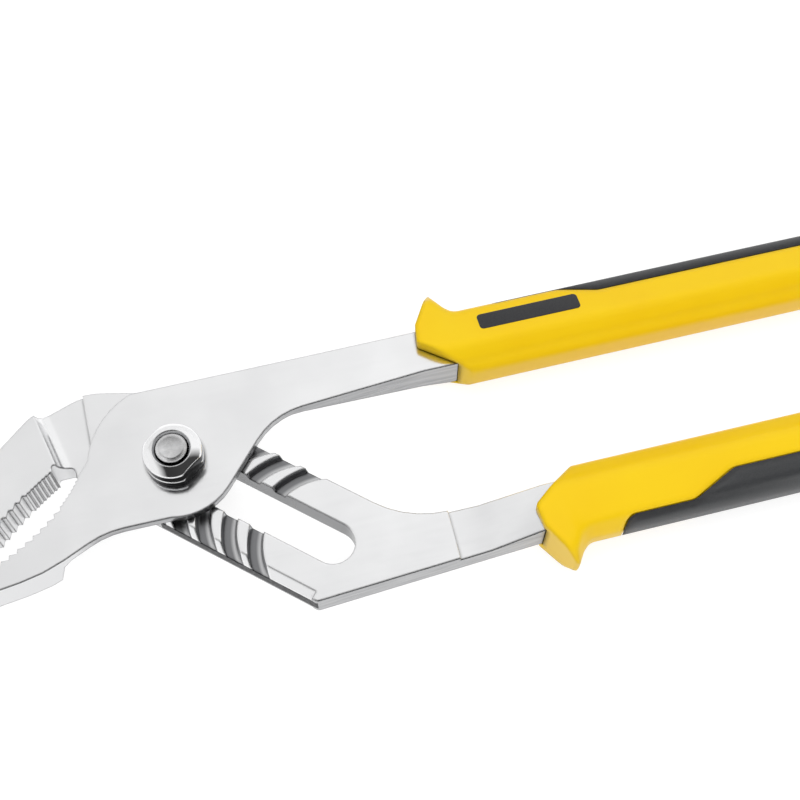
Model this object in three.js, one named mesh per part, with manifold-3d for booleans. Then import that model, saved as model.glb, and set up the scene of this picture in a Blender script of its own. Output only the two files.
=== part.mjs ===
// Groove-joint pliers. Two forged levers cross at a bolt. The front lever carries an arc tongue that sits in
// one of a row of arc grooves in the rear lever, so moving the bolt along the slot sets how far the jaws
// open.
//
// Millimetres. X runs along the handles, Y across them and Z up from the surface that the tool lies on. The
// origin is on the pivot axis, at the back of the bolt head. The tool is drawn closed, at its smallest
// setting.

import * as THREE from 'three';
import { mergeVertices } from 'three/addons/utils/BufferGeometryUtils.js';
import Module from 'manifold-3d';

const wasm = await Module();
wasm.setup();

// Fits
const fitGap = 0.3; // between pieces that seat on each other
const runningGap = 0.3; // between the sliding faces of the levers, and beside the tongue and the shank
const cutMargin = 5; // how far a cutter reaches past the metal it cuts

// Thickness of the levers
const leverThickness = 10.3; // jaws and tangs, back to front
const plateThickness = 2.5; // head of the tongue lever
const neckStep = 1.4; // how far the forged necks lie below the milled face of the groove lever

// Slot and grooves of the rear lever
const slotAngle = THREE.MathUtils.degToRad(-42);
const slotWidth = 10.9;
const stationCount = 7;
const stationPitch = 7.47;
const grooveInner = 16.9; // radii at the milled face, about the bolt
const grooveOuter = 20.9;
const grooveDepth = 2.1;
const grooveDraft = 0.6; // how far each groove wall leans in over its depth
const grooveSpan = THREE.MathUtils.degToRad(150);

// Tongue on the back of the front lever
const tongueDrop = 1.7;
const tongueRim = 1.1; // from the tongue to the edge of the plate
const tongueStart = THREE.MathUtils.degToRad(113);
const tongueEnd = THREE.MathUtils.degToRad(166);

// Jaws: one biting edge each, a quadratic curve from the throat to the shared tip
const jawTip = new THREE.Vector2(-57.8, -20.9);
const tipGap = 0.7;
const upperBiteRoot = new THREE.Vector2(-30.5, 3.7);
const upperBiteBend = new THREE.Vector2(-44.4, -4.9);
const lowerBiteRoot = new THREE.Vector2(-24.6, 0.8);
const lowerBiteBend = new THREE.Vector2(-33.2, -13);
const toothPitch = 2.4;
const toothDepth = 0.85;
const fineToothPitch = 1.2;
const fineToothDepth = 0.4;
const fineToothReach = 7.5; // length of the finely toothed stretch next to the throat
const toothLean = 0.3; // where the root of a tooth lies between two crests

// Outline of the rear lever
const armUpper = 14; // from the slot's centre line to the arm's edges
const armLower = 14.9;
const crownTop = new THREE.Vector2(-20, 24.9);
const crownTopRadius = 15;
const crownFall = THREE.MathUtils.degToRad(-13); // from there to the arm
const crownRadius = 18;
const elbowRadius = 26; // inner bend from the arm to the tang
const heelRadius = 1.5; // outer corner from the arm to the tang
const upperJawShoulder = new THREE.Vector2(-34, 20);
const upperJawBend = new THREE.Vector2(-49.5, 7.2);
const upperJawNose = new THREE.Vector2(-60.6, -16.2);
const upperShoulderRadius = 9;
const upperBendRadius = 35;
const noseRadius = 1.6;
const throatWidth = 5.2;
const throatRise = 1.9;
const throatRadius = 1.7;
const edgeBevelWidth = 2.2; // along the arm's lower edge
const edgeBevelDepth = 1.8;
const edgeRim = 0.6;

// Milled face and necks of the rear lever
const milledStart = -20.3;
const milledEnd = 63;
const rampStart = 71;
const rampEnd = 87;
const upperStepTop = new THREE.Vector2(-32.5, 19.6); // front edge of the wall behind the upper jaw
const upperStepFoot = new THREE.Vector2(-29.2, 5.4);
const stepRun = 3.4; // how far that hollow wall leans out

// Outline of the front lever
const headRadius = 15.7; // lower edge of the head, about the bolt
const headStart = THREE.MathUtils.degToRad(-104);
const headEnd = THREE.MathUtils.degToRad(-42);
const plateEdgeStart = THREE.MathUtils.degToRad(112);
const plateEdgeEnd = THREE.MathUtils.degToRad(168);
const lowerJawNose = new THREE.Vector2(-60.4, -25.3);
const lowerJawBelly = new THREE.Vector2(-36, -22.2);
const lowerJawNeck = new THREE.Vector2(-20, -15.1);
const bellyRadius = 40;
const neckRadius = 22;
const tangRootX = 34.5; // where the tang leaves the head
const tangRootWidth = 14.3;
const crookX = 26.3; // corner between the head and the tang
const crookRadius = 19;
const lowerStepOuter = new THREE.Vector2(-31.7, -21); // wall behind the lower jaw
const lowerStepInner = new THREE.Vector2(-25.4, -1.2);
const tangRampStart = 30; // where the back of the tang starts to drop
const tangRampEnd = 74;

// Tangs and handles
const upperTangY = 14.4;
const tangDrop = 4.7; // from the end of the slot to the lower tang's centre line
const tangWidth = 11.6;
const tangHeel = 3.4; // extra width of the lower tang at the arm's corner
const tangEndRadius = 4;
const tangCover = 14; // how far the grip runs past the end of its tang

// Pivot
const headHeight = 3.85;
const headDiameter = 17;
const headChamfer = 0.9;
const threadDiameter = 7.8;
const nutDiameter = 14.9;
const nutFlats = 13.3;
const nutFlatsAngle = THREE.MathUtils.degToRad(37);
const nutCollar = 2.1; // height of the collar at the foot of the nut
const nutCollarGroove = 0.35;
const nutSide = 3; // straight side above the collar
const nutDome = 1.5;
const nutTopDiameter = 10.6;
const nutMouthChamfer = 0.7;
const studProud = 0.9; // peened end above the nut
const studDome = 0.8;

// Grips
const gripDepth = 18.6; // through the tool's thickness
const gripHalfWidth = 9.6;
const gripOffset = 1; // how far the upper grip's centre line lies outside its tang
const upperGripFront = 66.4;
const upperGripLength = 122;
const lowerGripFront = 83.6;
const lowerGripLength = 106;
const gripRidge = 3.5; // from the grip's centre line inwards to the ridge along its front
const gripShoulder = new THREE.Vector2(7.2, 7); // outer edge of the broad facet, from the grip's middle
const gripOuterFlat = 2; // half heights of the flat sides
const gripInnerFlat = 4;
const gripRidgeRadius = 3;
const gripShoulderRadius = 2.4;
const gripFlatRadius = 3;
const gripEndDraw = 14; // length of the rounded rear end
const gripTailDepth = 18;
const gripTailEnd = 0.35; // share of that depth left at the very end
const guardTip = new THREE.Vector2(7, 16); // finger guard, from the front point of the grip
const guardCheek = new THREE.Vector2(0.8, 5.4);
const guardBack = 11;
const guardBackRadius = 3;
const guardTipRadius = 0.8;
const gripInnerStart = 12.6;
const gripInnerRadius = 3;
const gripPointRadius = 1.2;

// Palm inserts
const insertStart = 20; // from the front point of the grip
const insertStepStart = 39;
const insertStepEnd = 50;
const insertNarrow = 7.2; // from the grip's centre line to the insert's edge, before its step
const upperInsertWide = 4; // and after its step
const lowerInsertWide = 2;
const insertCornerRadius = 3.5;
const insertStepRadius = 5;
const insertDepth = 1; // thickness of the insert

// Fineness of the curves
const arcStep = THREE.MathUtils.degToRad(9);
const roundSegments = 48;
const grooveSegments = 84;
const gripRings = 6;
const filletShare = 0.49; // largest share of a side that one rounded corner takes
const weldTolerance = 1e-4;

// Levels worked out from the sizes above
const backZ = headHeight + fitGap;
const frontZ = backZ + leverThickness;
const plateZ = frontZ - plateThickness;
const landZ = plateZ - runningGap;
const neckZ = landZ - neckStep;
const midZ = (backZ + frontZ) / 2;
const slotTravel = (stationCount - 1) * stationPitch;
const slotDirection = new THREE.Vector2(Math.cos(slotAngle), Math.sin(slotAngle));
const slotNormal = new THREE.Vector2(-Math.sin(slotAngle), Math.cos(slotAngle));
const lowerTangY = slotPoint(slotTravel, 0).y - tangDrop;
const plateRadius = grooveOuter + tongueRim;
const reach = 2 * slotTravel; // past every edge of the levers' heads

const steel = { color: 0xc9cbcd, roughness: 0.22, metalness: 1 };
const darkSteel = { color: 0x8d9093, roughness: 0.3, metalness: 1 };
const yellow = { color: 0xf5c800, roughness: 0.38, metalness: 0 };
const rubber = { color: 0x3a434b, roughness: 0.8, metalness: 0 };

// A point given along the slot's centre line and across it.
function slotPoint(along, across) {
  return slotDirection.clone().multiplyScalar(along).addScaledVector(slotNormal, across);
}

// Where a line through p along angle a meets a line through q along angle b.
function meet(p, a, q, b) {
  const along = ((q.x - p.x) * Math.sin(b) - (q.y - p.y) * Math.cos(b)) / Math.sin(b - a);
  return new THREE.Vector2(p.x + along * Math.cos(a), p.y + along * Math.sin(a));
}

function corner(point, radius = 0) {
  return { point, radius };
}

function arcPoints(centre, radius, from, to) {
  const count = Math.max(2, Math.ceil(Math.abs(to - from) / arcStep));
  const points = [];
  for (let i = 0; i <= count; i += 1) {
    const angle = from + ((to - from) * i) / count;
    points.push(new THREE.Vector2(centre.x + radius * Math.cos(angle), centre.y + radius * Math.sin(angle)));
  }
  return points;
}

// The arc that rounds a corner between its neighbours. The radius is limited by the shorter side.
function roundedCorner(before, point, after, radius) {
  const toBefore = before.clone().sub(point);
  const toAfter = after.clone().sub(point);
  const half = toBefore.angleTo(toAfter) / 2;
  const room = Math.min(toBefore.length(), toAfter.length()) * Math.tan(half);
  const fillet = Math.min(radius, room * filletShare);
  toBefore.normalize();
  toAfter.normalize();
  const bisector = toBefore.clone().add(toAfter).normalize();
  const centre = point.clone().addScaledVector(bisector, fillet / Math.sin(half));
  const start = point.clone().addScaledVector(toBefore, fillet / Math.tan(half)).sub(centre);
  const end = point.clone().addScaledVector(toAfter, fillet / Math.tan(half)).sub(centre);
  const turn = Math.atan2(start.x * end.y - start.y * end.x, start.dot(end));
  return arcPoints(centre, fillet, start.angle(), start.angle() + turn);
}

// An outline from a mix of plain points and corners with radii.
function outline(items) {
  const place = (item) => item.point ?? item;
  return items.flatMap((item, i) => {
    if (!item.radius) return [place(item)];
    const before = place(items[(i + items.length - 1) % items.length]);
    const after = place(items[(i + 1) % items.length]);
    return roundedCorner(before, item.point, after, item.radius);
  });
}

// A closed solid from any three.js geometry, turned right side out.
function solid(geometry) {
  geometry.deleteAttribute('normal');
  geometry.deleteAttribute('uv');
  const merged = mergeVertices(geometry, weldTolerance);
  const points = merged.attributes.position;
  const index = Uint32Array.from(merged.index.array);
  const [a, b, c] = [new THREE.Vector3(), new THREE.Vector3(), new THREE.Vector3()];
  let volume = 0;
  for (let i = 0; i < index.length; i += 3) {
    a.fromBufferAttribute(points, index[i]);
    b.fromBufferAttribute(points, index[i + 1]);
    c.fromBufferAttribute(points, index[i + 2]);
    volume += a.dot(b.cross(c));
  }
  if (volume < 0) index.reverse();
  const triangles = [];
  for (let i = 0; i < index.length; i += 3) {
    const [p, q, r] = [index[i], index[i + 1], index[i + 2]];
    if (p !== q && q !== r && r !== p) triangles.push(p, q, r);
  }
  const vertProperties = Float32Array.from(points.array);
  const triVerts = Uint32Array.from(triangles);
  return new wasm.Manifold(new wasm.Mesh({ numProp: 3, vertProperties, triVerts }));
}

// A plan outline, thickened from one level to another.
function plan(points, low, high) {
  const size = { depth: high - low, bevelEnabled: false };
  const geometry = new THREE.ExtrudeGeometry(new THREE.Shape(points), size);
  return solid(geometry.translate(0, 0, low));
}

// A side outline in (along, Z), made as wide as given and turned about Z to stand across a line in plan.
function side(points, halfWidth, origin = new THREE.Vector2(), turn = 0) {
  const shape = new THREE.Shape(points.map(([along, z]) => new THREE.Vector2(along, z)));
  const geometry = new THREE.ExtrudeGeometry(shape, { depth: 2 * halfWidth, bevelEnabled: false });
  geometry.translate(0, 0, -halfWidth).rotateX(Math.PI / 2).rotateZ(turn).translate(origin.x, origin.y, 0);
  return solid(geometry);
}

// A solid of revolution about a vertical axis through the origin, from (radius, Z) points.
function turned(profile, segments = roundSegments) {
  const points = profile.map(([radius, z]) => new THREE.Vector2(radius, z));
  return solid(new THREE.LatheGeometry(points, segments).rotateX(Math.PI / 2));
}

function box(minX, maxX, minY, maxY, low, high) {
  const points = [[minX, minY], [maxX, minY], [maxX, maxY], [minX, maxY]];
  return plan(points.map(([x, y]) => new THREE.Vector2(x, y)), low, high);
}

// The part of a ring about the pivot that lies between two angles.
function ringSector(profile, from, to, low, high) {
  const wedge = [new THREE.Vector2(), ...arcPoints(new THREE.Vector2(), reach, from, to)];
  return turned([...profile, profile[0]], grooveSegments).intersect(plan(wedge, low, high));
}

// Teeth along a biting edge, from the throat to the tip: crests on the curve, roots set back into the jaw.
function teeth(root, bend, tip, intoJaw) {
  const curve = new THREE.QuadraticBezierCurve(root, bend, tip);
  const length = curve.getLength();
  const points = [];
  let at = 0;
  while (at < length - toothPitch) {
    const fine = at < fineToothReach;
    const pitch = fine ? fineToothPitch : toothPitch;
    const depth = fine ? fineToothDepth : toothDepth;
    points.push(curve.getPointAt(at / length));
    const share = (at + pitch * toothLean) / length;
    const tangent = curve.getTangentAt(share);
    const inward = new THREE.Vector2(tangent.y, -tangent.x).multiplyScalar(intoJaw * depth);
    points.push(curve.getPointAt(share).add(inward));
    at += pitch;
  }
  points.push(curve.getPointAt(Math.min(1, at / length)));
  points.push(tip);
  return points;
}

// A grip's section, Y outwards and Z up: a broad front facet, a ridge, and a steeper facet on the inner side.
function gripSection() {
  const half = gripDepth / 2;
  const place = (across, up, radius) => corner(new THREE.Vector2(across, up), radius);
  return outline([
    place(gripHalfWidth, gripOuterFlat, gripFlatRadius),
    place(gripShoulder.x, gripShoulder.y, gripShoulderRadius),
    place(-gripRidge, half, gripRidgeRadius),
    place(-gripHalfWidth, gripInnerFlat, gripFlatRadius),
    place(-gripHalfWidth, -gripInnerFlat, gripFlatRadius),
    place(-gripRidge, -half, gripRidgeRadius),
    place(gripShoulder.x, -gripShoulder.y, gripShoulderRadius),
    place(gripHalfWidth, -gripOuterFlat, gripFlatRadius),
  ]);
}

// A grip's body along X, from rings that stretch the section to an outer and inner width and a half depth.
function loft(rings) {
  const section = gripSection();
  const sides = section.length;
  const positions = [];
  const index = [];
  for (const { at, outer, inner, half } of rings) {
    for (const { x, y } of section) {
      const across = (x / gripHalfWidth) * (x > 0 ? outer : inner);
      positions.push(at, across, midZ + (y / gripDepth) * 2 * half);
    }
  }
  for (const end of [0, rings.length - 1]) positions.push(rings[end].at, 0, midZ);
  const frontCentre = rings.length * sides;
  const last = frontCentre - sides;
  for (let i = 0; i < sides; i += 1) {
    const next = (i + 1) % sides;
    index.push(frontCentre, next, i, frontCentre + 1, last + i, last + next);
    for (let here = 0; here < last; here += sides) {
      const there = here + sides;
      index.push(here + i, here + next, there + next, here + i, there + next, there + i);
    }
  }
  const geometry = new THREE.BufferGeometry();
  geometry.setAttribute('position', new THREE.Float32BufferAttribute(positions, 3));
  geometry.setIndex(index);
  return solid(geometry);
}

function mesh(name, body, look) {
  const { numProp, vertProperties, triVerts } = body.getMesh();
  const geometry = new THREE.BufferGeometry();
  const positions = new Float32Array((vertProperties.length / numProp) * 3);
  for (let i = 0; i < positions.length / 3; i += 1) {
    for (let k = 0; k < 3; k += 1) positions[3 * i + k] = vertProperties[numProp * i + k];
  }
  geometry.setAttribute('position', new THREE.BufferAttribute(positions, 3));
  geometry.setIndex(Array.from(triVerts));
  geometry.computeVertexNormals();
  const piece = new THREE.Mesh(geometry, new THREE.MeshStandardMaterial(look));
  piece.name = name;
  return piece;
}

// The tang that a grip slides over, in plan, grown all round by a clearance.
function tangPlan(centreY, start, end, grow) {
  const half = tangWidth / 2 + grow;
  const radius = tangEndRadius + grow;
  return outline([
    new THREE.Vector2(start, centreY - half),
    corner(new THREE.Vector2(end + grow, centreY - half), radius),
    corner(new THREE.Vector2(end + grow, centreY + half), radius),
    new THREE.Vector2(start, centreY + half),
  ]);
}

const upperTangEnd = upperGripFront + upperGripLength - tangCover;
const lowerTangEnd = lowerGripFront + lowerGripLength - tangCover;

function grooveCutter(station) {
  const low = landZ - grooveDepth;
  const high = landZ + cutMargin;
  const spread = (grooveDraft / grooveDepth) * cutMargin;
  const profile = [
    [grooveInner + grooveDraft, low],
    [grooveOuter - grooveDraft, low],
    [grooveOuter + spread, high],
    [grooveInner - spread, high],
  ];
  const towardsJaws = slotAngle + Math.PI;
  const ring = ringSector(profile, towardsJaws - grooveSpan / 2, towardsJaws + grooveSpan / 2, low, high);
  const { x, y } = slotPoint(station * stationPitch, 0);
  return ring.translate([x, y, 0]);
}

function grooveLever() {
  const upperTip = new THREE.Vector2(jawTip.x, jawTip.y + tipGap / 2);
  const tangTop = lowerTangY + tangWidth / 2;
  const tangBottom = lowerTangY - tangWidth / 2;
  const heelLevel = new THREE.Vector2(0, tangBottom - tangHeel);
  const heel = meet(slotPoint(0, -armLower), slotAngle, heelLevel, 0);
  const elbow = meet(slotPoint(0, armUpper), slotAngle, new THREE.Vector2(0, tangTop), 0);
  const crown = meet(slotPoint(0, armUpper), slotAngle, crownTop, crownFall);
  const throatTop = upperBiteRoot.y + throatRise;
  const throatEnd = upperBiteRoot.x + throatWidth;
  const throatBack = new THREE.Vector2(throatEnd, throatTop);
  const throatFoot = meet(slotPoint(0, -armLower), slotAngle, throatBack, Math.PI / 2);
  const points = outline([
    corner(new THREE.Vector2(lowerTangEnd, tangBottom), tangEndRadius),
    corner(new THREE.Vector2(lowerTangEnd, tangTop), tangEndRadius),
    corner(elbow, elbowRadius),
    corner(crown, crownRadius),
    corner(crownTop, crownTopRadius),
    corner(upperJawShoulder, upperShoulderRadius),
    corner(upperJawBend, upperBendRadius),
    corner(upperJawNose, noseRadius),
    ...teeth(upperBiteRoot, upperBiteBend, upperTip, 1).reverse(),
    corner(new THREE.Vector2(upperBiteRoot.x, throatTop), throatRadius),
    corner(throatBack, throatRadius),
    throatFoot,
    corner(heel, heelRadius),
    new THREE.Vector2(lowerGripFront, tangBottom),
  ]);
  const above = frontZ + cutMargin;
  const stepLine = upperStepFoot.clone().sub(upperStepTop);
  const stepTurn = stepLine.angle() + Math.PI / 2;
  const hollow = arcPoints(new THREE.Vector2(1, 1), 1, Math.PI, (3 * Math.PI) / 2);
  const stepWall = [
    ...hollow.map(({ x, y }) => [stepRun * x, neckZ + (frontZ - neckZ) * y]),
    [reach, neckZ],
    [reach, above],
    [0, above],
  ];
  const ramp = [
    [milledEnd, neckZ],
    [rampStart, neckZ],
    [rampEnd, frontZ],
    [rampEnd, above],
    [milledEnd, above],
  ];
  const bevel = [
    [armLower - edgeBevelWidth, landZ],
    [armLower, landZ - edgeBevelDepth],
    [armLower + cutMargin, landZ - edgeBevelDepth],
    [armLower + cutMargin, above],
    [armLower - edgeBevelWidth, above],
  ];
  const rim = [
    [armLower - edgeRim, backZ],
    [armLower + cutMargin, backZ + edgeRim + cutMargin],
    [armLower + cutMargin, backZ - cutMargin],
    [armLower - edgeRim, backZ - cutMargin],
  ];
  const downAcross = slotAngle - Math.PI / 2;
  const edgeFrom = slotPoint(0, -armLower).distanceTo(throatFoot);
  const edgeTo = slotPoint(0, -armLower).distanceTo(heel);
  const edgeMiddle = slotPoint((edgeTo - edgeFrom) / 2, 0);
  const edgeHalf = (edgeTo + edgeFrom) / 2 - heelRadius;
  const end = fitGap + slotTravel;
  const slot = outline([
    ...arcPoints(slotPoint(end, 0), slotWidth / 2, downAcross, downAcross + Math.PI),
    ...arcPoints(slotPoint(-fitGap, 0), slotWidth / 2, downAcross + Math.PI, downAcross + 2 * Math.PI),
  ]);
  let lever = plan(points, backZ, frontZ);
  const overMilled = box(milledStart, milledEnd, -reach, reach, landZ, above);
  const behindJaw = side(stepWall, reach, upperStepTop, stepTurn).intersect(
    box(-reach, milledStart, -reach, reach, backZ, above),
  );
  const cutters = [
    overMilled,
    behindJaw,
    side(ramp, reach),
    side(bevel, edgeHalf, edgeMiddle, downAcross),
    side(rim, edgeHalf, edgeMiddle, downAcross),
    plan(slot, backZ - cutMargin, above),
  ];
  for (let station = 0; station < stationCount; station += 1) cutters.push(grooveCutter(station));
  for (const cutter of cutters) lever = lever.subtract(cutter);
  return lever;
}

function tongueLever() {
  const lowerTip = new THREE.Vector2(jawTip.x, jawTip.y - tipGap / 2);
  const tangTop = upperTangY + tangWidth / 2;
  const tangBottom = upperTangY - tangWidth / 2;
  const rootBottom = tangTop - tangRootWidth;
  const points = outline([
    corner(new THREE.Vector2(upperTangEnd, tangBottom), tangEndRadius),
    corner(new THREE.Vector2(upperTangEnd, tangTop), tangEndRadius),
    new THREE.Vector2(tangRootX, tangTop),
    ...arcPoints(new THREE.Vector2(), plateRadius, plateEdgeStart, plateEdgeEnd),
    ...teeth(lowerBiteRoot, lowerBiteBend, lowerTip, -1),
    corner(lowerJawNose, noseRadius),
    corner(lowerJawBelly, bellyRadius),
    corner(lowerJawNeck, neckRadius),
    ...arcPoints(new THREE.Vector2(), headRadius, headStart, headEnd),
    corner(new THREE.Vector2(crookX, rootBottom), crookRadius),
    new THREE.Vector2(upperGripFront, tangBottom),
  ]);
  const below = backZ - cutMargin;
  const stepTurn = lowerStepInner.clone().sub(lowerStepOuter).angle() - Math.PI / 2;
  const stepWall = [
    [-stepRun / 2, below],
    [-stepRun / 2, backZ],
    [0, plateZ - neckStep],
    [stepRun / 2, plateZ],
    [reach, plateZ],
    [reach, below],
  ];
  const ramp = [
    [tangRampStart - cutMargin, plateZ],
    [tangRampStart, plateZ],
    [tangRampEnd, backZ],
    [tangRampEnd, below],
    [tangRampStart - cutMargin, below],
  ];
  const tongueTop = plateZ + plateThickness / 2;
  const lean = grooveDraft / grooveDepth;
  const inner = grooveInner + runningGap;
  const outer = grooveOuter - runningGap;
  const tongueProfile = [
    [inner + lean * tongueDrop, plateZ - tongueDrop],
    [outer - lean * tongueDrop, plateZ - tongueDrop],
    [outer, plateZ],
    [outer, tongueTop],
    [inner, tongueTop],
    [inner, plateZ],
  ];
  const tongue = ringSector(tongueProfile, tongueStart, tongueEnd, plateZ - cutMargin, tongueTop);
  const aheadOfTang = box(-reach, tangRampStart, -reach, reach, below, frontZ);
  const underHead = side(stepWall, reach, lowerStepOuter, stepTurn).intersect(aheadOfTang);
  const armEdge = -armLower - runningGap;
  const armRoom = [
    slotPoint(-reach, armEdge),
    slotPoint(reach, armEdge),
    slotPoint(reach, reach),
    slotPoint(-reach, reach),
  ];
  const overArm = plan(armRoom, below, plateZ).intersect(aheadOfTang);
  const bore = [
    [0, below],
    [threadDiameter / 2 + fitGap, below],
    [threadDiameter / 2 + fitGap, frontZ + cutMargin],
    [0, frontZ + cutMargin],
  ];
  let lever = plan(points, backZ, frontZ);
  for (const cutter of [underHead, overArm, side(ramp, reach)]) lever = lever.subtract(cutter);
  return lever.add(tongue).subtract(turned(bore));
}

const nutZ = frontZ + fitGap;
const nutTop = nutZ + nutCollar + nutSide + nutDome;

function pivotBolt() {
  const headRadiusOut = headDiameter / 2;
  const shank = slotWidth / 2 - runningGap;
  const shoulderZ = plateZ - fitGap;
  const stud = threadDiameter / 2;
  const studTop = nutTop + studProud;
  return turned([
    [0, 0],
    [headRadiusOut - headChamfer, 0],
    [headRadiusOut, headChamfer],
    [headRadiusOut, headHeight],
    [shank, headHeight],
    [shank, shoulderZ],
    [stud, shoulderZ],
    [stud, studTop - studDome],
    [stud - studDome, studTop],
    [0, studTop],
  ]);
}

function pivotNut() {
  const radius = nutDiameter / 2;
  const bore = threadDiameter / 2 + fitGap;
  const collarTop = nutZ + nutCollar;
  const shoulder = collarTop + nutSide;
  const dome = arcPoints(new THREE.Vector2(), 1, 0, Math.PI / 2).map(({ x, y }) => [
    nutTopDiameter / 2 + (radius - nutTopDiameter / 2) * x,
    shoulder + nutDome * y,
  ]);
  const profile = [
    [bore, nutZ],
    [radius, nutZ],
    [radius, collarTop - nutCollarGroove],
    [radius - nutCollarGroove, collarTop],
    [radius, collarTop + nutCollarGroove],
    ...dome,
    [bore + nutMouthChamfer, nutTop],
    [bore, nutTop - nutMouthChamfer],
    [bore, nutZ],
  ];
  const across = nutDiameter;
  const flats = box(-across, across, -nutFlats / 2, nutFlats / 2, 0, nutTop + cutMargin);
  return turned(profile).intersect(flats.rotate([0, 0, THREE.MathUtils.radToDeg(nutFlatsAngle)]));
}

// A grip's outer form, drawn in all round by an inset. X runs from its front point and Y outwards.
function gripForm(length, inset) {
  const halfWidth = gripHalfWidth - inset;
  const depth = gripDepth / 2 - inset;
  const tailDepth = gripTailDepth / 2 - inset;
  const end = length - inset;
  const points = outline([
    corner(new THREE.Vector2(), gripPointRadius),
    corner(new THREE.Vector2(gripInnerStart, -halfWidth), gripInnerRadius),
    corner(new THREE.Vector2(end, -halfWidth), halfWidth),
    corner(new THREE.Vector2(end, halfWidth), halfWidth),
    corner(new THREE.Vector2(guardBack, halfWidth), guardBackRadius),
    corner(guardTip, guardTipRadius),
    corner(guardCheek, gripPointRadius),
  ]);
  const ring = (at, half, outer = halfWidth) => ({ at, outer, inner: halfWidth, half });
  const rings = [
    ring(-cutMargin, depth, guardTip.y),
    ring(guardTip.x, depth, guardTip.y),
    ring(guardBack, depth),
    ring(insertStart, depth),
    ring(end - 2 * gripEndDraw, (depth + tailDepth) / 2),
  ];
  for (let i = 0; i <= gripRings; i += 1) {
    const share = i / gripRings;
    const swell = Math.sqrt(1 - share ** 2);
    rings.push(ring(end - gripEndDraw * (1 - share), tailDepth * (gripTailEnd + (1 - gripTailEnd) * swell)));
  }
  return plan(points, midZ - gripDepth, midZ + gripDepth).intersect(loft(rings));
}

// The part of a grip that the palm insert takes, in plan, drawn in by a clearance.
function insertPlan(length, wideEdge, inset) {
  const front = insertStart + inset;
  const narrow = insertNarrow + inset;
  const wide = wideEdge + inset;
  const far = length + cutMargin;
  const out = gripHalfWidth + cutMargin;
  const points = outline([
    new THREE.Vector2(front, out),
    corner(new THREE.Vector2(front, narrow), insertCornerRadius),
    corner(new THREE.Vector2(insertStepStart + inset, narrow), insertStepRadius),
    corner(new THREE.Vector2(insertStepEnd + inset, wide), insertStepRadius),
    new THREE.Vector2(far, wide),
    new THREE.Vector2(far, out),
  ]);
  return plan(points, midZ - gripDepth, midZ + gripDepth);
}

function gripBodies(length, tangOffset, wideEdge) {
  const body = gripForm(length, 0);
  const recess = insertPlan(length, wideEdge, 0).subtract(gripForm(length, insertDepth));
  const skin = insertPlan(length, wideEdge, fitGap).subtract(gripForm(length, insertDepth - fitGap));
  const tang = tangPlan(tangOffset, -cutMargin, length - tangCover, fitGap);
  return {
    sleeve: body.subtract(recess).subtract(plan(tang, backZ - fitGap, frontZ + fitGap)),
    insert: body.intersect(skin),
  };
}

const pliers = new THREE.Group();
pliers.add(mesh('groove_lever', grooveLever(), steel));
pliers.add(mesh('tongue_lever', tongueLever(), steel));
pliers.add(mesh('pivot_bolt', pivotBolt(), darkSteel));
pliers.add(mesh('pivot_nut', pivotNut(), steel));

const upperGrip = new THREE.Group();
upperGrip.position.set(upperGripFront, upperTangY + gripOffset, 0);
const upper = gripBodies(upperGripLength, -gripOffset, upperInsertWide);
upperGrip.add(mesh('upper_grip', upper.sleeve, yellow), mesh('upper_grip_insert', upper.insert, rubber));
pliers.add(upperGrip);

// The lower grip is the upper one turned over about X, so that its palm side faces down.
const lowerGrip = new THREE.Group();
lowerGrip.position.set(lowerGripFront, lowerTangY, 2 * midZ);
lowerGrip.rotation.x = Math.PI;
const lower = gripBodies(lowerGripLength, 0, lowerInsertWide);
lowerGrip.add(mesh('lower_grip', lower.sleeve, yellow), mesh('lower_grip_insert', lower.insert, rubber));
pliers.add(lowerGrip);

export default pliers;
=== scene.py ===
import bpy
import math
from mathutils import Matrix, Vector


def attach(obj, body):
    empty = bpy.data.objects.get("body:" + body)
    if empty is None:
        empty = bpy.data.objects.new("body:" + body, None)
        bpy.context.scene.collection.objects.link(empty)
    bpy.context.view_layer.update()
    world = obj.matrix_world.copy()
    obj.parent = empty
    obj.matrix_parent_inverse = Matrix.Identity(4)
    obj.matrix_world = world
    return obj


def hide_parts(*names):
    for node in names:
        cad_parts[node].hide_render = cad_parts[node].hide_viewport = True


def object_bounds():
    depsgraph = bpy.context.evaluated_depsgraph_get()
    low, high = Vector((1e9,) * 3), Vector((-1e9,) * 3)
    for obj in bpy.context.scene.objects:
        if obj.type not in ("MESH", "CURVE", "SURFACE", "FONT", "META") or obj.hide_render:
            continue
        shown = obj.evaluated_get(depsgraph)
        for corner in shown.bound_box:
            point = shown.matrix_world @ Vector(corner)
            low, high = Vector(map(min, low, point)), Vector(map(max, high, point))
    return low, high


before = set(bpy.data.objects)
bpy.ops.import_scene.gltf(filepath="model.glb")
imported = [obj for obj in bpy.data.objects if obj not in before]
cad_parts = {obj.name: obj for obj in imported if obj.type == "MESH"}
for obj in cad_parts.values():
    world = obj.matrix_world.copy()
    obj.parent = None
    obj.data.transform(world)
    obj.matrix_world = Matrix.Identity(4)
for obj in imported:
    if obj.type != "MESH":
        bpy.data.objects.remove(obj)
cadLow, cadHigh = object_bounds()
bpy.ops.object.select_all(action="DESELECT")
print("pliers loaded:", ", ".join(sorted(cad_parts)))

scene = bpy.context.scene
scene.view_settings.view_transform = "Standard"

photoView = {
    "place": (0.02217, -0.14377, 0.33688),
    "tilt": math.radians(25),
    "swing": math.radians(-14),
    "lens": 62.73,
    "sensor": 36,
    "nearest": 0.01,
}


def setCamera(view):
    bpy.ops.object.camera_add(location=view["place"], rotation=(view["tilt"], 0, view["swing"]))
    camera = bpy.context.active_object
    camera.name = "photoCamera"
    camera.data.sensor_width = view["sensor"]
    camera.data.lens = view["lens"]
    camera.data.clip_start = view["nearest"]
    camera.data.dof.use_dof = False
    scene.camera = camera


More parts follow.
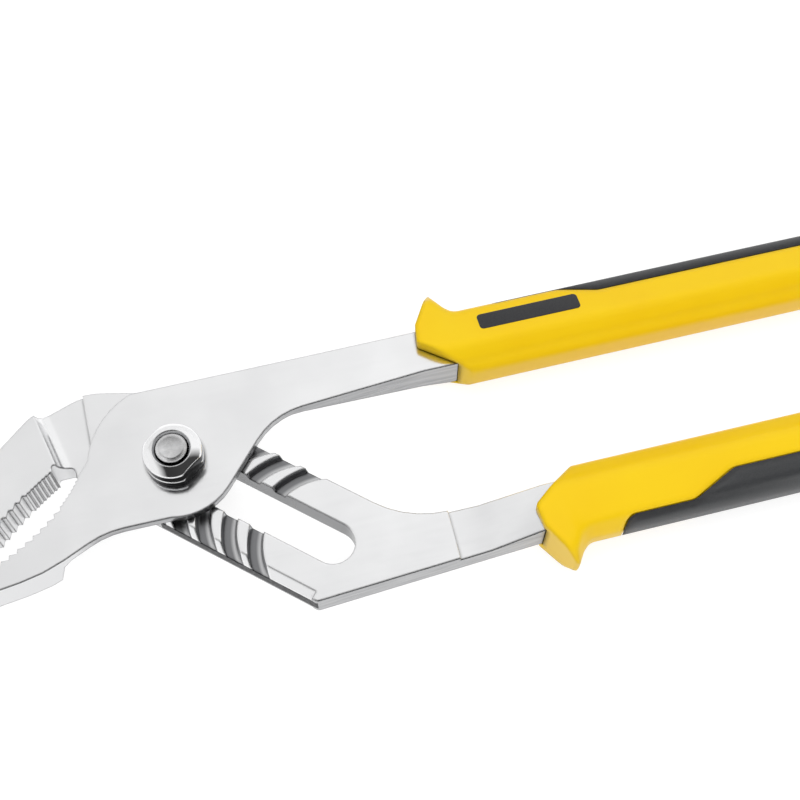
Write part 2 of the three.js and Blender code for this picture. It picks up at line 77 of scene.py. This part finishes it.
setCamera(photoView)
print("camera set")


# Small helpers for node work

def startMaterial(name):
    material = bpy.data.materials.new(name)
    material.use_nodes = True
    tree = material.node_tree
    return material, tree, tree.nodes["Principled BSDF"]


def addNode(tree, kind, **settings):
    node = tree.nodes.new(kind)
    for key, value in settings.items():
        setattr(node, key, value)
    return node


def plug(tree, value, socket):
    # a number or a colour is set on the socket, an output is linked to it
    if isinstance(value, (int, float)):
        socket.default_value = value
    elif isinstance(value, (tuple, list)):
        socket.default_value = (*value, 1)
    else:
        tree.links.new(value, socket)


def noiseField(tree, place, scale, detail, stretch=None):
    noise = addNode(tree, "ShaderNodeTexNoise")
    noise.inputs["Scale"].default_value = scale
    noise.inputs["Detail"].default_value = detail
    source = place.outputs["Object"]
    if stretch:
        mapping = addNode(tree, "ShaderNodeMapping")
        mapping.inputs["Scale"].default_value = stretch
        tree.links.new(source, mapping.inputs["Vector"])
        source = mapping.outputs["Vector"]
    tree.links.new(source, noise.inputs["Vector"])
    return noise.outputs["Fac"]


def spread(tree, source, low, high, fromLow=0.3, fromHigh=0.7):
    node = addNode(tree, "ShaderNodeMapRange")
    plug(tree, source, node.inputs["Value"])
    plug(tree, fromLow, node.inputs["From Min"])
    plug(tree, fromHigh, node.inputs["From Max"])
    plug(tree, low, node.inputs["To Min"])
    plug(tree, high, node.inputs["To Max"])
    return node.outputs["Result"]


def maths(tree, operation, first, second=0):
    node = addNode(tree, "ShaderNodeMath", operation=operation)
    for value, socket in zip((first, second), node.inputs):
        plug(tree, value, socket)
    return node.outputs["Value"]


def mixColours(tree, share, first, second):
    node = addNode(tree, "ShaderNodeMix", data_type="RGBA")
    plug(tree, share, node.inputs[0])
    plug(tree, first, node.inputs[6])  # sockets 6 and 7 are the colour pair
    plug(tree, second, node.inputs[7])
    return node.outputs[2]


def blendValues(tree, share, first, second):
    node = addNode(tree, "ShaderNodeMix", data_type="FLOAT")
    plug(tree, share, node.inputs[0])
    plug(tree, first, node.inputs[2])  # sockets 2 and 3 are the number pair
    plug(tree, second, node.inputs[3])
    return node.outputs[0]


def softenEdges(tree, look):
    rounded = addNode(tree, "ShaderNodeBevel", samples=look["edgeSamples"])
    rounded.inputs["Radius"].default_value = look["edge"]
    return rounded.outputs["Normal"]


def raiseGrain(tree, shader, normal, height, look):
    bump = addNode(tree, "ShaderNodeBump")
    bump.inputs["Strength"].default_value = look["bumpStrength"]
    bump.inputs["Distance"].default_value = look["bumpDepth"]
    tree.links.new(height, bump.inputs["Height"])
    tree.links.new(normal, bump.inputs["Normal"])
    tree.links.new(bump.outputs["Normal"], shader.inputs["Normal"])


# Steel: polished and plated faces; walls darker, partly for their rougher forged finish and partly as
# painted shade for the dark room they mirror; painted shade in corners and painted dark reflections
# along front edges
# Noise is given as scale, detail and stretch

leverSteel = {
    "face": (0.93, 0.932, 0.938),
    "faceDull": (0.86, 0.862, 0.87),
    # walls: darker tone, partly the rougher finish and partly painted shade for the dark room the
    # walls mirror
    "wall": (0.43, 0.432, 0.44),
    "wallDull": (0.30, 0.302, 0.31),
    "flank": (0.70, 0.702, 0.71),
    "jawFlank": (-0.028, -0.022),
    "flatFrom": (0.25, 0.6),
    # painted shade: this dark colour is painted into corners, creases and the foot of steps, where
    # shade falls
    "corner": (0.09, 0.09, 0.094),
    "cornerReach": 0.0014,
    "cornerSamples": 6,
    "cornerFrom": (0.38, 0.78),
    "faceRough": (0.13, 0.20),
    "wallRough": (0.17, 0.30),
    "edge": 0.0008,
    "edgeSamples": 6,
    # painted reflection: dark colour painted along edges that turn towards the front
    "paintedEdgeReflection": (0.02, 0.02, 0.022),
    "lineShare": 1.0,
    "lineTurn": (0.85, 0.965),
    "lineFacing": (-0.45, -0.22),
    "cloud": (60, 4),
    "grain": (900, 4, (0.06, 1, 1)),
    "pits": (2400, 4),
    "grainBump": 0.05,
    "bumpStrength": 0.5,
    "bumpDepth": 0.00006,
}

slotAlong = (0.743145, -0.669131, 0)
slotAcross = (0.669131, 0.743145, 0)

grooveFloor = {
    "colour": (0.25, 0.252, 0.26),
    "pale": (0.66, 0.662, 0.67),
    "slotWall": (0.17, 0.172, 0.178),
    "slotHalf": 0.0058,
    "slotRun": (-0.0065, 0.0512),
    "rough": 0.34,
    "levels": (0.0093, 0.0098),
    "radius": 0.0189,
    "pitch": 0.00747,
    "paleFrom": (0.0001, 0.0011),
}

forgedEdge = {
    "colour": (0.03, 0.03, 0.032),
    "pale": (0.12, 0.12, 0.125),
    "paleFrom": (0.45, 0.7),
    "rough": 0.5,
    "from": 0.004,
    "beyond": -0.01475,
    "levels": (0.0056, 0.0099),
    "scale": (1500, 6, (1, 1, 0.6)),
    "bump": 0.6,
}

nutSteel = dict(
    leverSteel,
    faceDull=(0.88, 0.882, 0.89),
    # the nut's walls: darker partly for their finish, partly as painted shade
    wall=(0.34, 0.342, 0.35),
    wallDull=(0.24, 0.242, 0.25),
    faceRough=(0.06, 0.10),
    wallRough=(0.08, 0.14),
    edge=0.0004,
    # painted corner shade reaches less far on the nut
    cornerReach=0.0006,
    lineShare=0,
)

studSteel = dict(
    leverSteel,
    face=(0.78, 0.78, 0.785),
    faceDull=(0.52, 0.52, 0.525),
    faceRough=(0.22, 0.34),
    cloud=(420, 4),
    grainBump=0.4,
    # painted corner shade reaches less far on the stud
    cornerReach=0.0004,
    lineShare=0,
)


def measure(tree, place, direction):
    node = addNode(tree, "ShaderNodeVectorMath", operation="DOT_PRODUCT")
    tree.links.new(place.outputs["Object"], node.inputs[0])
    node.inputs[1].default_value = direction
    return node.outputs["Value"]


def acrossGroove(tree, along, across, look):
    # how far a point lies from the middle line of its arc groove
    inner = maths(tree, "SUBTRACT", look["radius"] ** 2, maths(tree, "MULTIPLY", across, across))
    bow = maths(tree, "SQRT", maths(tree, "MAXIMUM", inner))
    wrapped = addNode(tree, "ShaderNodeMath", operation="WRAP")
    tree.links.new(maths(tree, "ADD", along, bow), wrapped.inputs[0])
    wrapped.inputs[1].default_value = look["pitch"] / 2
    wrapped.inputs[2].default_value = -look["pitch"] / 2
    return wrapped.outputs["Value"]


def between(tree, value, low, high):
    over = maths(tree, "GREATER_THAN", value, low)
    under = maths(tree, "LESS_THAN", value, high)
    return maths(tree, "MULTIPLY", over, under)


def paintFrontReflection(tree, rounded, normal, look):
    # painted reflection: edges that turn towards the front are painted dark in the base colour,
    # standing in for the dark side of the room they would mirror
    turn = addNode(tree, "ShaderNodeVectorMath", operation="DOT_PRODUCT")
    tree.links.new(rounded, turn.inputs[0])
    tree.links.new(normal, turn.inputs[1])
    leaning = addNode(tree, "ShaderNodeSeparateXYZ")
    tree.links.new(rounded, leaning.inputs[0])
    turned = spread(tree, turn.outputs["Value"], look["lineShare"], 0, *look["lineTurn"])
    facing = spread(tree, leaning.outputs["Y"], 1, 0, *look["lineFacing"])
    return maths(tree, "MULTIPLY", turned, facing)


def makeSteel(name, look, floorLook=None, edgeLook=None):
    material, tree, shader = startMaterial(name)
    links = tree.links
    place = addNode(tree, "ShaderNodeTexCoord")
    spot = addNode(tree, "ShaderNodeSeparateXYZ")
    links.new(place.outputs["Object"], spot.inputs[0])
    geometry = addNode(tree, "ShaderNodeNewGeometry")
    facing = addNode(tree, "ShaderNodeSeparateXYZ")
    links.new(geometry.outputs["Normal"], facing.inputs[0])
    level = maths(tree, "ABSOLUTE", facing.outputs["Z"])
    flat = spread(tree, level, 0, 1, *look["flatFrom"])
    cloud = noiseField(tree, place, *look["cloud"])
    grain = noiseField(tree, place, *look["grain"])
    pits = noiseField(tree, place, *look["pits"])
    face = mixColours(tree, spread(tree, cloud, 0, 1), look["faceDull"], look["face"])
    wall = mixColours(tree, spread(tree, grain, 0, 1), look["wallDull"], look["wall"])
    jaw = spread(tree, spot.outputs["X"], 1, 0, *look["jawFlank"])
    wall = mixColours(tree, jaw, wall, look["flank"])  # the jaws' flanks are polished too
    # walls take the darker colour: partly their rougher finish, partly painted shade for the dark
    # surroundings they mirror
    colour = mixColours(tree, flat, wall, face)
    faceRough = spread(tree, grain, *look["faceRough"])
    wallRough = spread(tree, cloud, *look["wallRough"])
    roughness = blendValues(tree, flat, wallRough, faceRough)
    relief = maths(tree, "MULTIPLY", pits, look["grainBump"])
    along = measure(tree, place, slotAlong)
    across = measure(tree, place, slotAcross)
    if floorLook:
        side = maths(tree, "ABSOLUTE", across)
        inSlot = maths(tree, "LESS_THAN", side, floorLook["slotHalf"])
        inSlot = maths(tree, "MULTIPLY", inSlot, maths(tree, "SUBTRACT", 1, flat))
        inSlot = maths(tree, "MULTIPLY", inSlot, between(tree, along, *floorLook["slotRun"]))
        colour = mixColours(tree, inSlot, colour, floorLook["slotWall"])
        sunk = between(tree, spot.outputs["Z"], *floorLook["levels"])
        sunk = maths(tree, "MULTIPLY", sunk, flat)
        offset = acrossGroove(tree, along, across, floorLook)
        lean = spread(tree, offset, 0, 1, *floorLook["paleFrom"])
        groove = mixColours(tree, lean, floorLook["colour"], floorLook["pale"])
        colour = mixColours(tree, sunk, colour, groove)
        roughness = blendValues(tree, sunk, roughness, floorLook["rough"])
    if edgeLook:
        past = maths(tree, "LESS_THAN", across, edgeLook["beyond"])
        onArm = maths(tree, "GREATER_THAN", along, edgeLook["from"])
        rough = between(tree, spot.outputs["Z"], *edgeLook["levels"])
        rough = maths(tree, "MULTIPLY", past, rough)
        rough = maths(tree, "MULTIPLY", rough, onArm)
        scale = noiseField(tree, place, *edgeLook["scale"])
        speckle = spread(tree, scale, 0, 1, *edgeLook["paleFrom"])
        forged = mixColours(tree, speckle, edgeLook["colour"], edgeLook["pale"])
        colour = mixColours(tree, rough, colour, forged)
        roughness = blendValues(tree, rough, roughness, edgeLook["rough"])
        pitted = maths(tree, "MULTIPLY", scale, edgeLook["bump"])
        relief = blendValues(tree, rough, relief, pitted)
    # Painted shade: ambient occlusion darkens the colour in corners, creases and at the foot of
    # steps, where shade falls
    paintedCornerShade = addNode(tree, "ShaderNodeAmbientOcclusion", samples=look["cornerSamples"])
    paintedCornerShade.inputs["Distance"].default_value = look["cornerReach"]
    outsideCornerShade = spread(tree, paintedCornerShade.outputs["AO"], 0, 1, *look["cornerFrom"])
    colour = mixColours(tree, outsideCornerShade, look["corner"], colour)
    rounded = softenEdges(tree, look)
    # Painted reflection: a dark line along front-facing edges, painted into the colour
    line = paintFrontReflection(tree, rounded, geometry.outputs["Normal"], look)
    colour = mixColours(tree, line, colour, look["paintedEdgeReflection"])
    links.new(colour, shader.inputs["Base Color"])
    links.new(roughness, shader.inputs["Roughness"])
    shader.inputs["Metallic"].default_value = 1
    raiseGrain(tree, shader, rounded, relief, look)
    return material


# Moulded grip plastic

gripPlastic = {
    "colour": (0.94, 0.60, 0.0),
    "pale": (0.96, 0.64, 0.001),
    "rough": (0.3, 0.4),
    "shine": 0.3,
    "edge": 0.0022,
    "edgeSamples": 6,
    "cloud": (45, 2),
    "grain": (2600, 2),
    "bumpStrength": 0.05,
    "bumpDepth": 0.00004,
}

# Soft palm rubber with a fine moulded grain, which its colour follows too

palmRubber = {
    "colour": (0.022, 0.023, 0.025),
    "pale": (0.041, 0.043, 0.046),
    "rough": (0.36, 0.52),
    "shine": 0.9,
    "edge": 0.0036,
    "edgeSamples": 8,
    "cloud": (3800, 2),
    "grain": (3800, 2),
    "bumpStrength": 0.35,
    "bumpDepth": 0.00008,
}


def makeMoulded(name, look):
    material, tree, shader = startMaterial(name)
    place = addNode(tree, "ShaderNodeTexCoord")
    cloud = noiseField(tree, place, *look["cloud"])
    grain = noiseField(tree, place, *look["grain"])
    colour = mixColours(tree, spread(tree, cloud, 0, 1), look["colour"], look["pale"])
    tree.links.new(colour, shader.inputs["Base Color"])
    tree.links.new(spread(tree, cloud, *look["rough"]), shader.inputs["Roughness"])
    shader.inputs["Specular IOR Level"].default_value = look["shine"]
    raiseGrain(tree, shader, softenEdges(tree, look), grain, look)
    return material


platedSteel = makeSteel("platedSteel", leverSteel)
groovedSteel = makeSteel("groovedSteel", leverSteel, grooveFloor, forgedEdge)
polishedNut = makeSteel("polishedNut", nutSteel)
peenedStud = makeSteel("peenedStud", studSteel)
yellowPlastic = makeMoulded("yellowPlastic", gripPlastic)
darkRubber = makeMoulded("darkRubber", palmRubber)
print("materials made")


# Each CAD solid is copied, welded and smoothed so that its curves shade as curves

weldReach = 0.000002
metalSmooth = math.radians(32)
gripSmooth = math.radians(40)

finishedPieces = {
    "groove_lever": {
        "name": "grooveLever", "material": groovedSteel, "body": "rear_lever", "smooth": metalSmooth},
    "tongue_lever": {
        "name": "tongueLever", "material": platedSteel, "body": "front_lever", "smooth": metalSmooth},
    "pivot_bolt": {
        "name": "pivotBolt", "material": peenedStud, "body": "pivot", "smooth": metalSmooth},
    "pivot_nut": {
        "name": "pivotNut", "material": polishedNut, "body": "pivot", "smooth": metalSmooth},
    "upper_grip": {
        "name": "upperGrip", "material": yellowPlastic, "body": "front_lever", "smooth": gripSmooth},
    "upper_grip_insert": {
        "name": "upperInsert", "material": darkRubber, "body": "front_lever", "smooth": gripSmooth},
    "lower_grip": {
        "name": "lowerGrip", "material": yellowPlastic, "body": "rear_lever", "smooth": gripSmooth},
    "lower_grip_insert": {
        "name": "lowerInsert", "material": darkRubber, "body": "rear_lever", "smooth": gripSmooth},
}


def finishPiece(nodeName, settings):
    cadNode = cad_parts[nodeName]
    bpy.ops.object.select_all(action="DESELECT")
    cadNode.select_set(True)
    bpy.context.view_layer.objects.active = cadNode
    bpy.ops.object.duplicate()
    piece = bpy.context.active_object
    piece.name = settings["name"]
    for key in list(piece.keys()):
        del piece[key]
    bpy.ops.object.mode_set(mode="EDIT")
    bpy.ops.mesh.select_all(action="SELECT")
    bpy.ops.mesh.customdata_custom_splitnormals_clear()
    bpy.ops.mesh.remove_doubles(threshold=weldReach)
    bpy.ops.object.mode_set(mode="OBJECT")
    bpy.ops.object.shade_smooth_by_angle(angle=settings["smooth"])
    piece.data.materials.clear()
    piece.data.materials.append(settings["material"])
    cadNode.data.materials.clear()
    cadNode.data.materials.append(settings["material"])
    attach(piece, settings["body"])
    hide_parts(nodeName)
    return piece


made = {node: finishPiece(node, settings) for node, settings in finishedPieces.items()}
print("pieces finished:", ", ".join(piece.name for piece in made.values()))


# Small helpers for edit mode

upwards = 0.99  # a face whose normal has at least this much Z looks up


def clearPick(kind):
    bpy.ops.object.mode_set(mode="EDIT")
    bpy.ops.mesh.select_mode(type=kind)
    bpy.ops.mesh.select_all(action="DESELECT")
    bpy.ops.object.mode_set(mode="OBJECT")


def selectFaces(piece, wanted):
    bpy.ops.object.select_all(action="DESELECT")
    piece.select_set(True)
    bpy.context.view_layer.objects.active = piece
    clearPick("FACE")
    for face in piece.data.polygons:
        face.select = wanted(face)


# The peened end of the bolt is hammered hollow, in a few shrinking steps

studEnd = {
    "inset": 0.0007,
    "sink": (0.00016, 0.00013, 0.0001, 0.00006),
    "topReach": 0.00001,
    "smooth": math.radians(40),
}


def hollowStud(piece, look):
    top = max(vertex.co.z for vertex in piece.data.vertices) - look["topReach"]
    selectFaces(piece, lambda face: face.normal.z > upwards and face.center.z > top)
    bpy.ops.object.mode_set(mode="EDIT")
    for sink in look["sink"]:
        bpy.ops.mesh.inset(thickness=look["inset"], depth=-sink)
    bpy.ops.object.mode_set(mode="OBJECT")
    bpy.ops.object.shade_smooth_by_angle(angle=look["smooth"])


hollowStud(made["pivot_bolt"], studEnd)
print("bolt end hollowed")

# The nut's top falls away towards its rim

nutTop = {"from": 0.0049, "fall": 0.0011, "rim": 0.00745, "depth": 0.0021}


def slopeNut(piece, look):
    top = max(vertex.co.z for vertex in piece.data.vertices)
    foot = top - look["depth"]
    for vertex in piece.data.vertices:
        away = math.hypot(vertex.co.x, vertex.co.y) - look["from"]
        if away > 0 and vertex.co.z > foot:
            share = away / (look["rim"] - look["from"])
            vertex.co.z -= look["fall"] * share * (vertex.co.z - foot) / look["depth"]
    piece.data.update()


slopeNut(made["pivot_nut"], nutTop)
print("nut top sloped")

# The valley behind each finger guard is filled with a round: the outer skin is cut across
# in thin slices, and each slice moves out to a curve between the first and the last

guardValleys = {
    "upper_grip": {"at": 0.0774, "side": 1, "middle": (0.0154, 0.0093)},
    "lower_grip": {"at": 0.0946, "side": -1, "middle": (-0.0347, 0.0093)},
}
valleyRound = {
    "reach": 0.0024,
    "slices": 8,
    "near": 0.00002,
    "clear": 0.0005,
    "joinFlat": math.radians(8),
    "joinShape": math.radians(179),
    "smooth": math.radians(40),
}


def cutSkin(piece, middle, at):
    selectFaces(piece, lambda face: (face.center.yz - middle).dot(face.normal.yz) > 0)
    bpy.ops.object.mode_set(mode="EDIT")
    bpy.ops.mesh.bisect(plane_co=(at, 0, 0), plane_no=(1, 0, 0))
    bpy.ops.object.mode_set(mode="OBJECT")


def outlineReach(outline, direction):
    # how far the outline lies from its middle in one direction
    slack = -1e-12  # a corner that lies right in the direction counts too
    for first, second in zip(outline, outline[1:] + outline[:1]):
        ahead = direction.dot(first + second) > 0
        if ahead and first.cross(direction) >= slack and direction.cross(second) >= slack:
            return first.cross(second) / direction.cross(second - first)


def roundValley(piece, valley, look):
    middle = Vector(valley["middle"])
    slices = look["slices"]
    selectFaces(piece, lambda face: True)
    bpy.ops.object.mode_set(mode="EDIT")
    bpy.ops.mesh.tris_convert_to_quads(
        face_threshold=look["joinFlat"], shape_threshold=look["joinShape"])
    bpy.ops.object.mode_set(mode="OBJECT")
    places = [valley["at"] + look["reach"] * (2 * step / slices - 1) for step in range(slices + 1)]
    for step, place in enumerate(places):
        if 2 * step != slices:  # the valley's own line is there already
            cutSkin(piece, middle, place)
    rings = []
    for place in places:
        rings.append([v for v in piece.data.vertices if abs(v.co.x - place) < look["near"]])
    outlines = []
    for ring in (rings[0], rings[slices // 2], rings[-1]):
        points = [vertex.co.yz - middle for vertex in ring]
        outlines.append(sorted(points, key=lambda point: math.atan2(point.y, point.x)))
    for step in range(1, slices):
        share = step / slices
        for vertex in rings[step]:
            if valley["side"] * (vertex.co.y - middle.x) < look["clear"]:
                continue
            direction = (vertex.co.yz - middle).normalized()
            first, lowest, last = (outlineReach(outline, direction) for outline in outlines)
            reach = (1 - share) ** 2 * first + 2 * share * (1 - share) * lowest + share ** 2 * last
            vertex.co.yz = middle + direction * reach
    piece.data.update()
    bpy.ops.object.shade_smooth_by_angle(angle=look["smooth"])
    print("valley rounded:", piece.name)


for nodeName, valley in guardValleys.items():
    roundValley(made[nodeName], valley, valleyRound)

# A plain dark bar let into the broad facet of the upper grip

gripBar = {
    "middle": (0.0969, 0.0174, 0.0171),
    "size": (0.0272, 0.0050, 0.0008),
    "slope": math.radians(-12.1),
    "round": 0.0011,
    "roundSegments": 8,
    "lip": 0.00012,
    "lipSegments": 3,
    "upright": 0.000001,
    "smooth": math.radians(35),
    "colour": (0.010, 0.010, 0.012),
    "pale": (0.022, 0.022, 0.025),
    "rough": (0.28, 0.38),
    "grain": (3000, 2),
}


def makeBarPaint(look):
    material, tree, shader = startMaterial("darkPanel")
    place = addNode(tree, "ShaderNodeTexCoord")
    grain = noiseField(tree, place, *look["grain"])
    colour = mixColours(tree, spread(tree, grain, 0, 1), look["colour"], look["pale"])
    tree.links.new(colour, shader.inputs["Base Color"])
    tree.links.new(spread(tree, grain, *look["rough"]), shader.inputs["Roughness"])
    return material


def buildGripBar(look):
    bpy.ops.object.select_all(action="DESELECT")
    bpy.ops.mesh.primitive_cube_add(
        size=1, location=look["middle"], rotation=(look["slope"], 0, 0))
    bar = bpy.context.active_object
    bar.name = "gripBar"
    bar.scale = look["size"]
    bpy.ops.object.transform_apply(location=False, rotation=False, scale=True)
    clearPick("EDGE")
    for edge in bar.data.edges:  # the four upright corners
        ends = [bar.data.vertices[i].co for i in edge.vertices]
        edge.select = abs(ends[0].z - ends[1].z) > look["upright"]
    bpy.ops.object.mode_set(mode="EDIT")
    bpy.ops.mesh.bevel(offset=look["round"], segments=look["roundSegments"], affect="EDGES")
    clearPick("FACE")
    for face in bar.data.polygons:  # the top face, whose rim is rounded over
        face.select = face.normal.z > upwards
    bpy.ops.object.mode_set(mode="EDIT")
    bpy.ops.mesh.bevel(offset=look["lip"], segments=look["lipSegments"], affect="EDGES")
    bpy.ops.object.mode_set(mode="OBJECT")
    bpy.ops.object.transform_apply(location=True, rotation=True, scale=True)
    bpy.ops.object.shade_smooth_by_angle(angle=look["smooth"])
    bar.data.materials.append(makeBarPaint(look))
    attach(bar, "front_lever")


buildGripBar(gripBar)
print("grip bar set in")


# Studio: a pale cove, a broad soft lamp in front and above, and a room that is dark on the
# camera's side, bright at the back and has a bright panel on the left

studio = {
    "coveRadius": 3.0,
    "coveHeight": 1.1,
    "coveSides": 96,
    "coveMatte": 0.94,
    "floorGap": 0.0002,
    "shadowShare": 0.35,
    "shadowTrim": 0.6,
    "lampPlace": (0.1, -0.5, 1.25),
    "lampAim": (0.06, 0, 0),
    "lampSize": 1.6,
    "lampPower": 14.0,
    "roomFront": 0.05,
    "roomBack": 1.0,
    "frontToBack": (-0.14, 0.26),
    "roomLeft": 0.78,
    "leftToRight": (-0.32, 0.2),
    "leftPanel": 0.95,
    "panelEdge": (-0.75, -0.45),
}


def makeCoveMaterial(look):
    material = bpy.data.materials.new("paleCove")
    material.use_nodes = True
    tree = material.node_tree
    tree.nodes.clear()
    output = addNode(tree, "ShaderNodeOutputMaterial")
    rays = addNode(tree, "ShaderNodeLightPath")
    seen = maths(tree, "MAXIMUM", rays.outputs["Is Camera Ray"], rays.outputs["Is Glossy Ray"])
    seen = maths(tree, "MAXIMUM", seen, rays.outputs["Is Transmission Ray"])
    matte = addNode(tree, "ShaderNodeBsdfDiffuse")
    plug(tree, (look["coveMatte"],) * 3, matte.inputs["Color"])
    shade = addNode(tree, "ShaderNodeBsdfDiffuse")
    plug(tree, (look["shadowShare"],) * 3, shade.inputs["Color"])
    white = addNode(tree, "ShaderNodeEmission")
    white.inputs["Strength"].default_value = 1 - look["shadowTrim"] * look["shadowShare"]
    bright = addNode(tree, "ShaderNodeAddShader")
    mix = addNode(tree, "ShaderNodeMixShader")
    tree.links.new(shade.outputs[0], bright.inputs[0])
    tree.links.new(white.outputs[0], bright.inputs[1])
    tree.links.new(seen, mix.inputs[0])
    tree.links.new(matte.outputs[0], mix.inputs[1])
    tree.links.new(bright.outputs[0], mix.inputs[2])
    tree.links.new(mix.outputs[0], output.inputs["Surface"])
    return material


def buildCove(look):
    bpy.ops.object.select_all(action="DESELECT")
    bpy.ops.mesh.primitive_circle_add(
        vertices=look["coveSides"], radius=look["coveRadius"], fill_type="NGON",
        location=(0, 0, cadLow.z - look["floorGap"]))
    cove = bpy.context.active_object
    cove.name = "cove"
    bpy.ops.object.mode_set(mode="EDIT")
    bpy.ops.mesh.select_mode(type="EDGE")
    bpy.ops.mesh.select_all(action="SELECT")
    bpy.ops.mesh.extrude_edges_move(TRANSFORM_OT_translate={"value": (0, 0, look["coveHeight"])})
    bpy.ops.object.mode_set(mode="OBJECT")
    bpy.ops.object.transform_apply(location=True, rotation=True, scale=True)
    cove.data.materials.append(makeCoveMaterial(look))


def hangLamp(look):
    bpy.ops.object.light_add(type="AREA", location=look["lampPlace"])
    lamp = bpy.context.active_object
    lamp.name = "softLamp"
    lamp.data.shape = "SQUARE"
    lamp.data.size = look["lampSize"]
    lamp.data.energy = look["lampPower"]
    lamp.visible_glossy = False  # the metal mirrors the room, not the lamp
    aim = Vector(look["lampAim"]) - Vector(look["lampPlace"])
    lamp.rotation_euler = aim.to_track_quat("-Z", "Y").to_euler()


def lightRoom(look):
    world = bpy.data.worlds.new("room")
    scene.world = world
    world.use_nodes = True
    tree = world.node_tree
    background = tree.nodes["Background"]
    place = addNode(tree, "ShaderNodeTexCoord")
    split = addNode(tree, "ShaderNodeSeparateXYZ")
    tree.links.new(place.outputs["Generated"], split.inputs[0])
    depth = spread(
        tree, split.outputs["Y"], look["roomFront"], look["roomBack"], *look["frontToBack"])
    sideways = spread(tree, split.outputs["X"], look["roomLeft"], 1, *look["leftToRight"])
    panel = spread(tree, split.outputs["X"], look["leftPanel"], 0, *look["panelEdge"])
    level = maths(tree, "MAXIMUM", maths(tree, "MULTIPLY", depth, sideways), panel)
    tree.links.new(level, background.inputs["Color"])


buildCove(studio)
hangLamp(studio)
lightRoom(studio)
print("studio lit")
